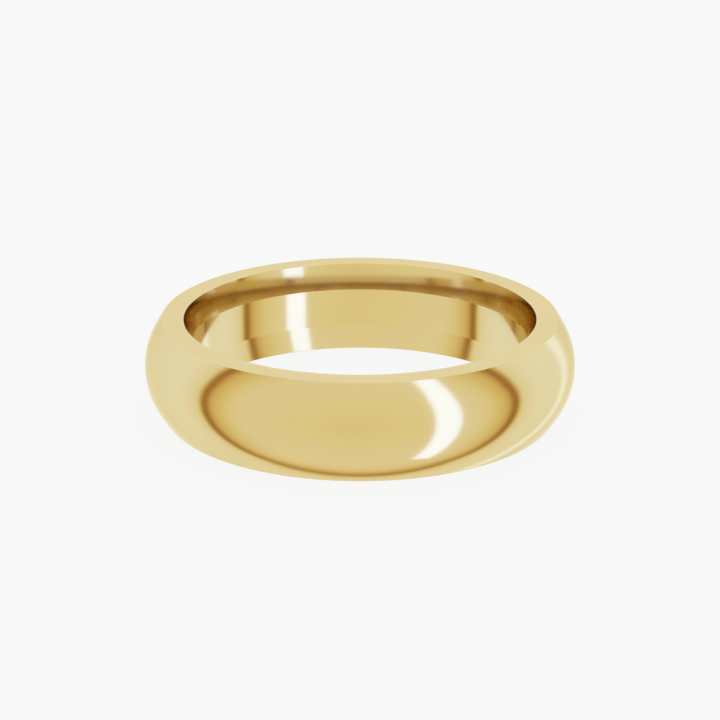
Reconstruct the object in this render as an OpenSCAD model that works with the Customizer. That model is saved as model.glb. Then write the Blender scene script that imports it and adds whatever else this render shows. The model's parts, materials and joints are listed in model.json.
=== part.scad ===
// Plain domed wedding band with a comfort-fit bore, lying on one of its two flat rims.
// It is one piece of gold: a closed ring, turned and polished, with no seam, liner or setting.
// Millimetres. Z is the bore's axis, and the origin is the centre of the bore at mid-width.
// Slopes are in degrees from that axis.

/* [Size] */
// Ring size, which is the circumference of the bore in millimetres (ISO 8653)
ring_size = 55.5; // [44:0.5:74]
// Width of the band from rim to rim
band_w = 5; // [4:0.1:6]
// Thickness of the wall at mid-width, from the bore to the crown of the dome
wall_t = 2.3; // [2.1:0.05:3]

/* [Outside] */
// Share of the width that the dome's rounder crown takes up, between its flatter shoulders
crown_share = 0.635; // [0.5:0.005:0.8]
// Slope of the dome where the crown passes into a shoulder
crown_slope = 26; // [18:1:28]
// Slope of the shoulder where it meets the rim
rim_slope = 38; // [32:1:40]
// Radius that polishing leaves on the outer edges of the rims
outer_edge_r = 0.05; // [0.04:0.01:0.3]

/* [Comfort fit] */
// Length of the straight wall in the middle of the bore
straight_w = 2.1; // [1:0.1:2.4]
// How much wider in radius the bore is at the rims than at the straight wall
relief_h = 0.24; // [0.1:0.01:0.3]
// How sharply the relief leaves the straight wall: 0 is tangent, towards 1 is a plain cone
relief_start = 0.65; // [0:0.05:0.9]
// Radius that polishing leaves on the inner edges of the rims
inner_edge_r = 0.04; // [0.03:0.01:0.12]

/* [Hidden] */
$fn = 240;

half_w = band_w / 2;
half_crown = crown_share * half_w;
half_straight = straight_w / 2;

bore_r = ring_size / (2 * PI);
outer_r = bore_r + wall_t;
gold = [0.86, 0.76, 0.58];

// The crown is one arc, centred on the mid-width plane. Each shoulder is a second, flatter
// arc, which leaves the crown without a bend: the two centres lie on one line with the join.
crown_r = half_crown / sin(crown_slope);
crown_c = [outer_r - crown_r, 0];
shoulder_r = (half_w - half_crown) / (sin(rim_slope) - sin(crown_slope));
shoulder_c = crown_c + (crown_r - shoulder_r) * [cos(crown_slope), sin(crown_slope)];

// Each relief is one arc from the end of the straight wall out to the rim. Its centre lies in
// the metal, square to its slope at the straight wall.
relief_w = half_w - half_straight;
mean_slope = atan(relief_h / relief_w);
start_slope = relief_start * mean_slope;
relief_r = norm([relief_w, relief_h]) / (2 * sin(mean_slope - start_slope));
relief_c = [bore_r, half_straight] + relief_r * [cos(start_slope), -sin(start_slope)];

// The two arcs that meet the upper rim: [centre, radius, side, radius of the edge's round].
// side is 1 when the metal ends on the arc's outer side, and -1 on the side facing the bore.
outer_arc = [shoulder_c, shoulder_r, 1, outer_edge_r];
inner_arc = [relief_c, relief_r, -1, inner_edge_r];

// An edge's round lies against the rim and against one of those arcs.
function round_centre(arc) =
    let (height = half_w - arc[3], reach = arc[1] - arc[3], rise = height - arc[0].y)
    [arc[0].x + arc[2] * sqrt(pow(reach, 2) - pow(rise, 2)), height];

// A point straight out from the round's centre, through where the round leaves the arc
function beyond_round(arc) =
    let (centre = round_centre(arc), way = centre - arc[0])
    centre + 2 * arc[3] * way / norm(way);

// Both halves are alike, so what shapes the upper one is mirrored to the lower one.
module both_halves() {
    children();
    mirror([0, 1]) children();
}

// Everything within the crown's arc, as high as the crown reaches
module crown() {
    intersection() {
        translate(crown_c) circle(crown_r);
        translate([bore_r, -half_crown]) square([2 * wall_t, 2 * half_crown]);
    }
}

// Everything within the upper shoulder's arc, from the crown up to the rim
module shoulder() {
    intersection() {
        translate(shoulder_c) circle(shoulder_r);
        translate([bore_r, half_crown]) square([2 * wall_t, half_w - half_crown]);
    }
}

// Metal taken from the bore between the straight wall and the upper rim
module relief_cut() {
    difference() {
        translate([bore_r - relief_h, half_straight]) square([2 * relief_h, relief_w + relief_h]);
        translate(relief_c) circle(relief_r);
    }
}

// The sharp corner between the upper rim and an arc
module corner_cut(arc) {
    centre = round_centre(arc);
    beyond = beyond_round(arc);
    above = half_w + arc[3];
    polygon([centre, [centre.x, above], [beyond.x, above], beyond]);
}

// The round that takes that corner's place
module corner_round(arc) {
    translate(round_centre(arc)) circle(arc[3]);
}

// Cross-section of the band, with the bore's radius along X and the width along Y
module section() {
    difference() {
        union() {
            crown();
            both_halves() shoulder();
        }
        both_halves() {
            relief_cut();
            corner_cut(outer_arc);
            corner_cut(inner_arc);
        }
    }
    both_halves() {
        corner_round(outer_arc);
        corner_round(inner_arc);
    }
}

// The whole ring
module band() {
    color(gold) rotate_extrude() section();
}

band();
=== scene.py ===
"""The looks of a plain domed wedding band: polished yellow gold, in a tent of soft light.

Metres, in the CAD frame. Z is the bore's axis, and the origin is the centre of the bore. The camera
stands on the -Y side, which is called the front, and has +X on its right.
"""

import json
import math

import bpy
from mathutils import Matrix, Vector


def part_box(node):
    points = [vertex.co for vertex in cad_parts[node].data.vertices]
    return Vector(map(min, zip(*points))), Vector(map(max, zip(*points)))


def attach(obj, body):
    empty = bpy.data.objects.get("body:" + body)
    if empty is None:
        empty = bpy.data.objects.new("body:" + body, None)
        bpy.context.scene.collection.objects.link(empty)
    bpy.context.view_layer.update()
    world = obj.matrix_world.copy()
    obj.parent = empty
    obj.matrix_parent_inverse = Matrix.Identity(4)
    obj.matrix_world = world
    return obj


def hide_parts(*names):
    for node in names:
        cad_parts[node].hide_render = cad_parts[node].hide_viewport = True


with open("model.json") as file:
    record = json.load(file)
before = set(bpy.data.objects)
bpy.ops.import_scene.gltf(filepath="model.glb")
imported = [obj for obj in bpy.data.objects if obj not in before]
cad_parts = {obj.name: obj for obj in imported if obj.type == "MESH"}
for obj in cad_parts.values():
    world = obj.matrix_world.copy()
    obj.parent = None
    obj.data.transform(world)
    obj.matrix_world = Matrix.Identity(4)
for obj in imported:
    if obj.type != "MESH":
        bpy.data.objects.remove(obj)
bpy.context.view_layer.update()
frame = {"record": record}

MM = 0.001

# Sizes that the frame gives
bore = next(mount for mount in frame["record"]["mounts"] if mount["name"] == "finger_bore")["dims"]
high_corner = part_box("band")[1]
OUTER_R = high_corner.x
HALF_W = high_corner.z
BORE_R = bore["r_mm"] * MM
HALF_STRAIGHT = bore["length_mm"] * MM / 2

# Sizes of the section that the frame doesn't give, as in part.scad
HALF_CROWN = 0.635 * HALF_W
CROWN_SLOPE = math.radians(26)
RIM_SLOPE = math.radians(38)
OUTER_EDGE_R = 0.05 * MM
INNER_EDGE_R = 0.04 * MM
RELIEF_H = 0.24 * MM
RELIEF_START = 0.65

# How finely the ring is turned: steps all round, and steps along each stretch of the section
TURN_STEPS = 360
CROWN_STEPS = 26
SHOULDER_STEPS = 16
EDGE_STEPS = 8
RIM_STEPS = 5
RELIEF_STEPS = 14
STRAIGHT_STEPS = 4

# The gold's colour face on, in linear RGB, and the tint on it towards its silhouettes
GOLD = (0.70, 0.545, 0.30)
GRAZING_TINT = (0.88, 0.79, 0.60)
ROUGHNESS = 0.115

# How fine the gold's unevenness is: noise cells per metre in its patches, in its scuffs and across
# its polishing lines, and cells per radian along those lines
PATCH_CELLS = 350
SCUFF_CELLS = 2500
LINE_CELLS = 9000
LINE_CELLS_ROUND = 5

# How strong it is: how far the patches shift the tone each way, where on the noise a scuff starts
# and is whole, how pale a scuff is, the range of roughness from each, and the lines' depth
TONE_SHIFT = 0.03
SCUFF_BORDER = (0.45, 0.65)
SCUFF_PALENESS = 0.3
LINE_ROUGHNESS = 0.03
PATCH_ROUGHNESS = 0.03
SCUFF_ROUGHNESS = 0.05
LINE_DEPTH = 0.00005 * MM

# The floor: its colour and the share of it that is lit instead of glowing, then how far it is
# flat, the bend up from there, the height that the wall reaches, and the steps round and up
FLOOR_COLOUR = (0.939, 0.937, 0.940)
FLOOR_LIT = 0.05
FLOOR_FLAT_R = 300 * MM
FLOOR_BEND_R = 150 * MM
FLOOR_WALL_H = 400 * MM
FLOOR_TURN_STEPS = 96
FLOOR_BEND_STEPS = 16

# The tent's light by the angle away from straight in front: degrees, linear RGB. One pale dome
# stands in front and another behind, and between them a dark gap runs all round.
FRONT_STOPS = [
    (0, (0.98, 0.965, 0.67)),
    (15, (1.00, 0.99, 0.69)),
    (30, (1.01, 1.04, 0.74)),
    (48, (1.02, 1.035, 0.85)),
    (62, (1.02, 1.055, 0.86)),
    (70, (1.01, 0.99, 0.71)),
    (76, (0.92, 0.87, 0.435)),
    (80, (0.865, 0.745, 0.35)),
    (82, (0.83, 0.61, 0.27)),
    (83.5, (0.67, 0.425, 0.16)),
    (84.8, (0.43, 0.235, 0.056)),
    (86, (0.37, 0.18, 0.05)),
    (87.2, (0.40, 0.145, 0.01)),
    (88.6, (0.605, 0.435, 0.11)),
    (90, (1.025, 0.915, 0.505)),
]
BACK_STOPS = [
    (90, (1.025, 0.915, 0.505)),
    (92, (1.055, 1.145, 0.86)),
    (95, (1.015, 1.12, 1.03)),
    (100, (1.10, 1.165, 1.175)),
    (110, (1.07, 1.25, 1.28)),
    (125, (1.10, 1.22, 1.33)),
    (180, (1.12, 1.24, 1.31)),
]
# The same towards the floor, where the gap is not as dark
FLOOR_STOPS = [
    (60, (1.03, 1.06, 0.88)),
    (70, (1.04, 1.05, 0.87)),
    (75, (1.02, 1.01, 0.76)),
    (79, (1.01, 0.95, 0.65)),
    (81, (0.96, 0.83, 0.48)),
    (83, (0.87, 0.69, 0.35)),
    (85, (0.68, 0.49, 0.19)),
    (87, (0.52, 0.37, 0.09)),
    (88.6, (0.56, 0.41, 0.11)),
    (90.3, (0.95, 0.86, 0.52)),
    (93, (1.05, 1.10, 0.88)),
    (100, (1.08, 1.15, 1.12)),
    (180, (1.12, 1.24, 1.31)),
]
OVERHEAD_LIGHT = (1.06, 1.12, 1.05)
LOW_REAR_LIGHT = (1.06, 1.11, 1.03)
KEY_LIGHT = (1.40, 1.79, 3.03)
RIM_LIGHT = (1.25, 1.55, 2.10)

# Soft borders of the lights in degrees, each from where a light starts to where it is whole.
# AWAY is by the angle away from straight in front, SIDES by the compass to the right of it, and
# the others by the height above the horizon. The key has no upper end.
FLOORWARD = (-20, -70)
LOW_REAR_AWAY = (140, 155)
LOW_REAR_TOP = (12, 4)
OVERHEAD = (58, 72)
RIM_SIDES = ((126, 133), (143, 136))
RIM_ENDS = ((22, 12), (-66, -56))
KEY_SIDES = ((37.6, 39.2), (53.8, 52.0))
KEY_ENDS = ((-59, -57),)

# How often light may be reflected from gold to gold, as it is in the bore
GLOSSY_BOUNCES = 6

# The camera: how far it looks down, its distance in outer radii of the ring, and the width of
# its sensor and the length of its lens in millimetres
TILT = math.radians(19.62)
DISTANCE = 9.28
SENSOR = 36
LENS = 99.3


# ---------------------------------------------------------------- the ring

def arc(centre, radius, start, end, steps):
    """Points along an arc with their outward normals, both ends counted."""
    points = []
    for k in range(steps + 1):
        angle = start + (end - start) * k / steps
        way = (math.cos(angle), math.sin(angle))
        points.append(((centre[0] + radius * way[0], centre[1] + radius * way[1]), way))
    return points


def line(start, end, normal, steps):
    """Points along a straight stretch, which share one normal."""
    (r0, z0), (r1, z1) = start, end
    return [((r0 + (r1 - r0) * k / steps, z0 + (z1 - z0) * k / steps), normal) for k in range(steps + 1)]


def direction(start, end):
    """The angle, up from the radius, of the way from one point of the section to another."""
    return math.atan2(end[1] - start[1], end[0] - start[0])


def edge_centre(centre, radius, side, edge_r):
    """Centre of the round between the upper rim and an arc. side is 1 outside and -1 in the bore."""
    reach, rise = radius - edge_r, HALF_W - edge_r - centre[1]
    return (centre[0] + side * math.sqrt(reach ** 2 - rise ** 2), HALF_W - edge_r)


def dome_arcs():
    """Centre and radius of the crown's arc and of the flatter shoulder's arc that carries it on."""
    crown_r = HALF_CROWN / math.sin(CROWN_SLOPE)
    crown_c = (OUTER_R - crown_r, 0)
    shoulder_r = (HALF_W - HALF_CROWN) / (math.sin(RIM_SLOPE) - math.sin(CROWN_SLOPE))
    back = crown_r - shoulder_r
    shoulder_c = (crown_c[0] + back * math.cos(CROWN_SLOPE), back * math.sin(CROWN_SLOPE))
    return (crown_c, crown_r), (shoulder_c, shoulder_r)


def relief_arc():
    """Centre, radius and starting slope of the relief, which widens the bore towards the rim.

    The centre is on the metal's side of the wall, so the wall bulges a little towards the axis.
    """
    relief_w = HALF_W - HALF_STRAIGHT
    mean_slope = math.atan(RELIEF_H / relief_w)
    start_slope = RELIEF_START * mean_slope
    radius = math.hypot(relief_w, RELIEF_H) / (2 * math.sin(mean_slope - start_slope))
    centre = (BORE_R + radius * math.cos(start_slope), HALF_STRAIGHT - radius * math.sin(start_slope))
    return centre, radius, start_slope


def upper_section():
    """The section's upper half, from the crown over the rim and down the bore.

    Each item is a stretch of points and whether it is the round of an edge.
    """
    (crown_c, crown_r), (shoulder_c, shoulder_r) = dome_arcs()
    relief_c, relief_r, start_slope = relief_arc()
    outer = edge_centre(shoulder_c, shoulder_r, 1, OUTER_EDGE_R)
    inner = edge_centre(relief_c, relief_r, -1, INNER_EDGE_R)
    dome_end, relief_top = direction(shoulder_c, outer), direction(relief_c, inner)
    up = math.pi / 2
    return [
        (arc(crown_c, crown_r, 0, CROWN_SLOPE, CROWN_STEPS), False),
        (arc(shoulder_c, shoulder_r, CROWN_SLOPE, dome_end, SHOULDER_STEPS), False),
        (arc(outer, OUTER_EDGE_R, dome_end, up, EDGE_STEPS), True),
        (line((outer[0], HALF_W), (inner[0], HALF_W), (0, 1), RIM_STEPS), False),
        (arc(inner, INNER_EDGE_R, up, relief_top, EDGE_STEPS), True),
        (arc(relief_c, relief_r, relief_top, math.pi - start_slope, RELIEF_STEPS), False),
        (line((BORE_R, HALF_STRAIGHT), (BORE_R, 0), (-1, 0), STRAIGHT_STEPS), False),
    ]


def whole_section():
    """All round the section: the upper half, then its mirror image back to the crown."""
    upper = upper_section()
    lower = []
    for stretch, is_edge in reversed(upper):
        lower.append(([((r, -z), (nr, -nz)) for (r, z), (nr, nz) in reversed(stretch)], is_edge))
    return upper + lower


def compass_points(count):
    """Evenly spaced directions all round Z, as (cosine, sine)."""
    angles = (math.tau * i / count for i in range(count))
    return [(math.cos(angle), math.sin(angle)) for angle in angles]


def turned_ring(name):
    """The ring as one closed mesh, turned about Z, with the true normal at every corner.

    Its attribute "edge" is 1 on the rounded edges of the rims and 0 elsewhere.
    """
    outline, spans, worn = [], [], []
    for stretch, is_edge in whole_section():
        for (point, normal), (_, next_normal) in zip(stretch, stretch[1:]):
            outline.append(point)
            spans.append((normal, next_normal))
            worn.append(float(is_edge))
    count = len(outline)
    turns = compass_points(TURN_STEPS)
    verts = [(r * c, r * s, z) for c, s in turns for r, z in outline]
    faces, normals = [], []
    for i in range(TURN_STEPS):
        here, there = i * count, (i + 1) % TURN_STEPS * count
        c0, s0 = turns[i]
        c1, s1 = turns[(i + 1) % TURN_STEPS]
        for j, ((r0, z0), (r1, z1)) in enumerate(spans):
            k = (j + 1) % count
            faces.append((here + j, there + j, there + k, here + k))
            normals += [(r0 * c0, r0 * s0, z0), (r0 * c1, r0 * s1, z0)]
            normals += [(r1 * c1, r1 * s1, z1), (r1 * c0, r1 * s0, z1)]
    mesh = bpy.data.meshes.new(name)
    mesh.from_pydata(verts, [], faces)
    mesh.polygons.foreach_set("use_smooth", [True] * len(faces))
    mesh.attributes.new("edge", "FLOAT", "POINT").data.foreach_set("value", worn * TURN_STEPS)
    mesh.normals_split_custom_set(normals)
    mesh.update()
    ring = bpy.data.objects.new(name, mesh)
    bpy.context.scene.collection.objects.link(ring)
    return ring


# ---------------------------------------------------------------- materials

class Graph:
    """Adds nodes to one node tree. A value is a number, a colour or another node's output."""

    def __init__(self, tree):
        self.nodes = tree.nodes
        self.links = tree.links

    def feed(self, socket, value):
        if isinstance(value, bpy.types.NodeSocket):
            self.links.new(value, socket)
        elif isinstance(value, tuple):
            socket.default_value = (*value, 1)
        else:
            socket.default_value = value

    def add(self, kind, **inputs):
        node = self.nodes.new(kind)
        for name, value in inputs.items():
            self.feed(node.inputs[name], value)
        return node

    def maths(self, operation, *values):
        node = self.nodes.new("ShaderNodeMath")
        node.operation = operation
        for socket, value in zip(node.inputs, values):
            self.feed(socket, value)
        return node.outputs[0]

    def soft_step(self, value, start, end):
        """A smooth change from 0 at start to 1 at end. start may be the higher one."""
        node = self.nodes.new("ShaderNodeMapRange")
        node.interpolation_type = "SMOOTHSTEP"
        for name, number in (("Value", value), ("From Min", start), ("From Max", end)):
            self.feed(node.inputs[name], number)
        return node.outputs["Result"]

    def mix(self, factor, first, second):
        """One colour turning into another as the factor goes from 0 to 1."""
        node = self.nodes.new("ShaderNodeMix")
        node.data_type = "RGBA"
        self.feed(node.inputs["Factor"], factor)
        colours = [socket for socket in node.inputs if socket.type == "RGBA"]
        for socket, value in zip(colours, (first, second)):
            self.feed(socket, value)
        return next(socket for socket in node.outputs if socket.type == "RGBA")

    def ramp(self, value, stops):
        """The colour at a value, with straight changes between the stops, given as (value, colour)."""
        first, last = stops[0][0], stops[-1][0]
        node = self.nodes.new("ShaderNodeValToRGB")
        elements = node.color_ramp.elements
        while len(elements) < len(stops):
            elements.new(0.5)
        for element, (place, colour) in zip(elements, stops):
            element.position = (place - first) / (last - first)
            element.color = (*colour, 1)
        share = self.maths("DIVIDE", self.maths("SUBTRACT", value, first), last - first)
        self.feed(node.inputs["Fac"], share)
        return node.outputs["Color"]


def new_material(name):
    material = bpy.data.materials.new(name)
    material.use_nodes = True
    return material, Graph(material.node_tree)


def hairlines(graph):
    """Fine lines round the ring, which polishing leaves, as a height between 0 and 1.

    They change fast across the section and slowly round the ring, so the noise is read in four
    dimensions: the compass angle's cosine and sine, the height and the radius.
    """
    place = graph.add("ShaderNodeTexCoord").outputs["Object"]
    x, y, z = graph.add("ShaderNodeSeparateXYZ", Vector=place).outputs
    x_squared, y_squared = graph.maths("MULTIPLY", x, x), graph.maths("MULTIPLY", y, y)
    radius = graph.maths("SQRT", graph.maths("ADD", x_squared, y_squared))
    spot = graph.add(
        "ShaderNodeCombineXYZ",
        X=graph.maths("MULTIPLY", graph.maths("DIVIDE", x, radius), LINE_CELLS_ROUND),
        Y=graph.maths("MULTIPLY", graph.maths("DIVIDE", y, radius), LINE_CELLS_ROUND),
        Z=graph.maths("MULTIPLY", z, LINE_CELLS),
    ).outputs[0]
    noise = graph.nodes.new("ShaderNodeTexNoise")
    noise.noise_dimensions = "4D"
    graph.feed(noise.inputs["Vector"], spot)
    graph.feed(noise.inputs["W"], graph.maths("MULTIPLY", radius, LINE_CELLS))
    graph.feed(noise.inputs["Scale"], 1)
    graph.feed(noise.inputs["Detail"], 2)
    return noise.outputs[0]


def mottle(graph, cells, detail):
    """Soft irregular patches, between 0 and 1."""
    place = graph.add("ShaderNodeTexCoord").outputs["Object"]
    return graph.add("ShaderNodeTexNoise", Vector=place, Scale=cells, Detail=detail).outputs[0]


def gold_material():
    """Polished 14 carat yellow gold with faint polishing lines, and edges dulled a little by wear."""
    material, graph = new_material("yellow_gold")
    shader = graph.nodes["Principled BSDF"]
    lines, patches = hairlines(graph), mottle(graph, PATCH_CELLS, detail=3)
    edge = graph.add("ShaderNodeAttribute")
    edge.attribute_name = "edge"
    spots = graph.soft_step(mottle(graph, SCUFF_CELLS, detail=2), *SCUFF_BORDER)
    scuffs = graph.maths("MULTIPLY", edge.outputs["Fac"], spots)

    darker, lighter = (tuple(k * c for c in GOLD) for k in (1 - TONE_SHIFT, 1 + TONE_SHIFT))
    tone = graph.mix(patches, darker, lighter)
    pale = tuple((own + tint) / 2 for own, tint in zip(GOLD, GRAZING_TINT))
    colour = graph.mix(graph.maths("MULTIPLY", scuffs, SCUFF_PALENESS), tone, pale)

    rough = ROUGHNESS
    for noise, amount in ((lines, LINE_ROUGHNESS), (patches, PATCH_ROUGHNESS)):
        rough = graph.maths("MULTIPLY_ADD", graph.maths("SUBTRACT", noise, 0.5), amount, rough)
    rough = graph.maths("MULTIPLY_ADD", scuffs, SCUFF_ROUGHNESS, rough)

    bump = graph.add("ShaderNodeBump", Height=lines, Strength=1.0, Distance=LINE_DEPTH)
    graph.feed(shader.inputs["Base Color"], colour)
    graph.feed(shader.inputs["Roughness"], rough)
    graph.feed(shader.inputs["Normal"], bump.outputs["Normal"])
    graph.feed(shader.inputs["Metallic"], 1)
    graph.feed(shader.inputs["Specular Tint"], GRAZING_TINT)
    return material


def floor_material():
    """A pale sweep that mostly glows, so that the ring hardly shades it."""
    material, graph = new_material("pale_floor")
    glow = graph.add("ShaderNodeEmission", Color=FLOOR_COLOUR).outputs[0]
    matt = graph.add("ShaderNodeBsdfDiffuse", Color=FLOOR_COLOUR).outputs[0]
    both = graph.nodes.new("ShaderNodeMixShader")
    graph.feed(both.inputs[0], FLOOR_LIT)
    graph.feed(both.inputs[1], glow)
    graph.feed(both.inputs[2], matt)
    graph.feed(graph.nodes["Material Output"].inputs["Surface"], both.outputs[0])
    return material


# ---------------------------------------------------------------- studio

def floor():
    """A flat floor that turns up into a wall all round. It shows only to the camera."""
    bend_c = (FLOOR_FLAT_R, FLOOR_BEND_R - HALF_W)
    bend = arc(bend_c, FLOOR_BEND_R, -math.pi / 2, 0, FLOOR_BEND_STEPS)
    outline = [point for point, _ in bend]
    outline.append((FLOOR_FLAT_R + FLOOR_BEND_R, FLOOR_WALL_H - HALF_W))
    count, steps = len(outline), FLOOR_TURN_STEPS
    verts = [(r * c, r * s, z) for c, s in compass_points(steps) for r, z in outline]
    faces = [tuple(i * count for i in range(steps))]
    for i in range(steps):
        here, there = i * count, (i + 1) % steps * count
        faces += [(here + j, here + j + 1, there + j + 1, there + j) for j in range(count - 1)]
    mesh = bpy.data.meshes.new("floor")
    mesh.from_pydata(verts, [], faces)
    mesh.polygons.foreach_set("use_smooth", [True] * len(faces))
    mesh.materials.append(floor_material())
    sweep = bpy.data.objects.new("floor", mesh)
    bpy.context.scene.collection.objects.link(sweep)
    sweep.visible_glossy = False
    sweep.visible_diffuse = False
    sweep.visible_shadow = False


def compass(graph):
    """Which way the world is looked at, in degrees.

    The angles are away from straight in front, round to the right, and up.
    """
    place = graph.add("ShaderNodeTexCoord").outputs["Generated"]
    x, y, z = graph.add("ShaderNodeSeparateXYZ", Vector=place).outputs
    front = graph.maths("MULTIPLY", y, -1)
    away, turn = graph.maths("ARCCOSINE", front), graph.maths("ARCTAN2", x, front)
    return [graph.maths("DEGREES", angle) for angle in (away, turn, graph.maths("ARCSINE", z))]


def panel(graph, turn, height, sides, ends):
    """How much of a panel is seen, from 0 to 1, given the soft borders of its sides and ends."""
    shape = graph.maths("MULTIPLY", graph.soft_step(turn, *sides[0]), graph.soft_step(turn, *sides[1]))
    for end in ends:
        shape = graph.maths("MULTIPLY", shape, graph.soft_step(height, *end))
    return shape


def tent():
    """The world: two pale domes with a gap between them, a key strip and a rim light."""
    world = bpy.data.worlds.new("tent")
    bpy.context.scene.world = world
    world.use_nodes = True
    graph = Graph(world.node_tree)
    away, turn, height = compass(graph)
    behind = graph.maths("GREATER_THAN", away, BACK_STOPS[0][0])
    light = graph.mix(behind, graph.ramp(away, FRONT_STOPS), graph.ramp(away, BACK_STOPS))

    # The rear dome is warmer low down, and overhead the two domes meet in one light.
    rear, low = graph.soft_step(away, *LOW_REAR_AWAY), graph.soft_step(height, *LOW_REAR_TOP)
    light = graph.mix(graph.maths("MULTIPLY", rear, low), light, LOW_REAR_LIGHT)
    light = graph.mix(graph.soft_step(height, *OVERHEAD), light, OVERHEAD_LIGHT)
    light = graph.mix(graph.soft_step(height, *FLOORWARD), light, graph.ramp(away, FLOOR_STOPS))

    light = graph.mix(panel(graph, turn, height, RIM_SIDES, RIM_ENDS), light, RIM_LIGHT)
    light = graph.mix(panel(graph, turn, height, KEY_SIDES, KEY_ENDS), light, KEY_LIGHT)
    graph.feed(graph.nodes["Background"].inputs["Color"], light)


def camera():
    """A long lens, looking down at the ring's centre from the front."""
    distance = DISTANCE * OUTER_R
    data = bpy.data.cameras.new("camera")
    data.lens, data.sensor_width = LENS, SENSOR
    data.clip_start, data.clip_end = 1 * MM, 10
    view = bpy.data.objects.new("camera", data)
    view.location = (0, -distance * math.cos(TILT), distance * math.sin(TILT))
    view.rotation_euler = (math.pi / 2 - TILT, 0, 0)
    bpy.context.scene.collection.objects.link(view)
    bpy.context.scene.camera = view


# ---------------------------------------------------------------- the scene

camera()
tent()
floor()
ring = turned_ring("gold_band")
ring.data.materials.append(gold_material())
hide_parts("band")
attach(ring, "root")
bpy.context.scene.view_settings.view_transform = "Standard"
bpy.context.scene.cycles.glossy_bounces = GLOSSY_BOUNCES
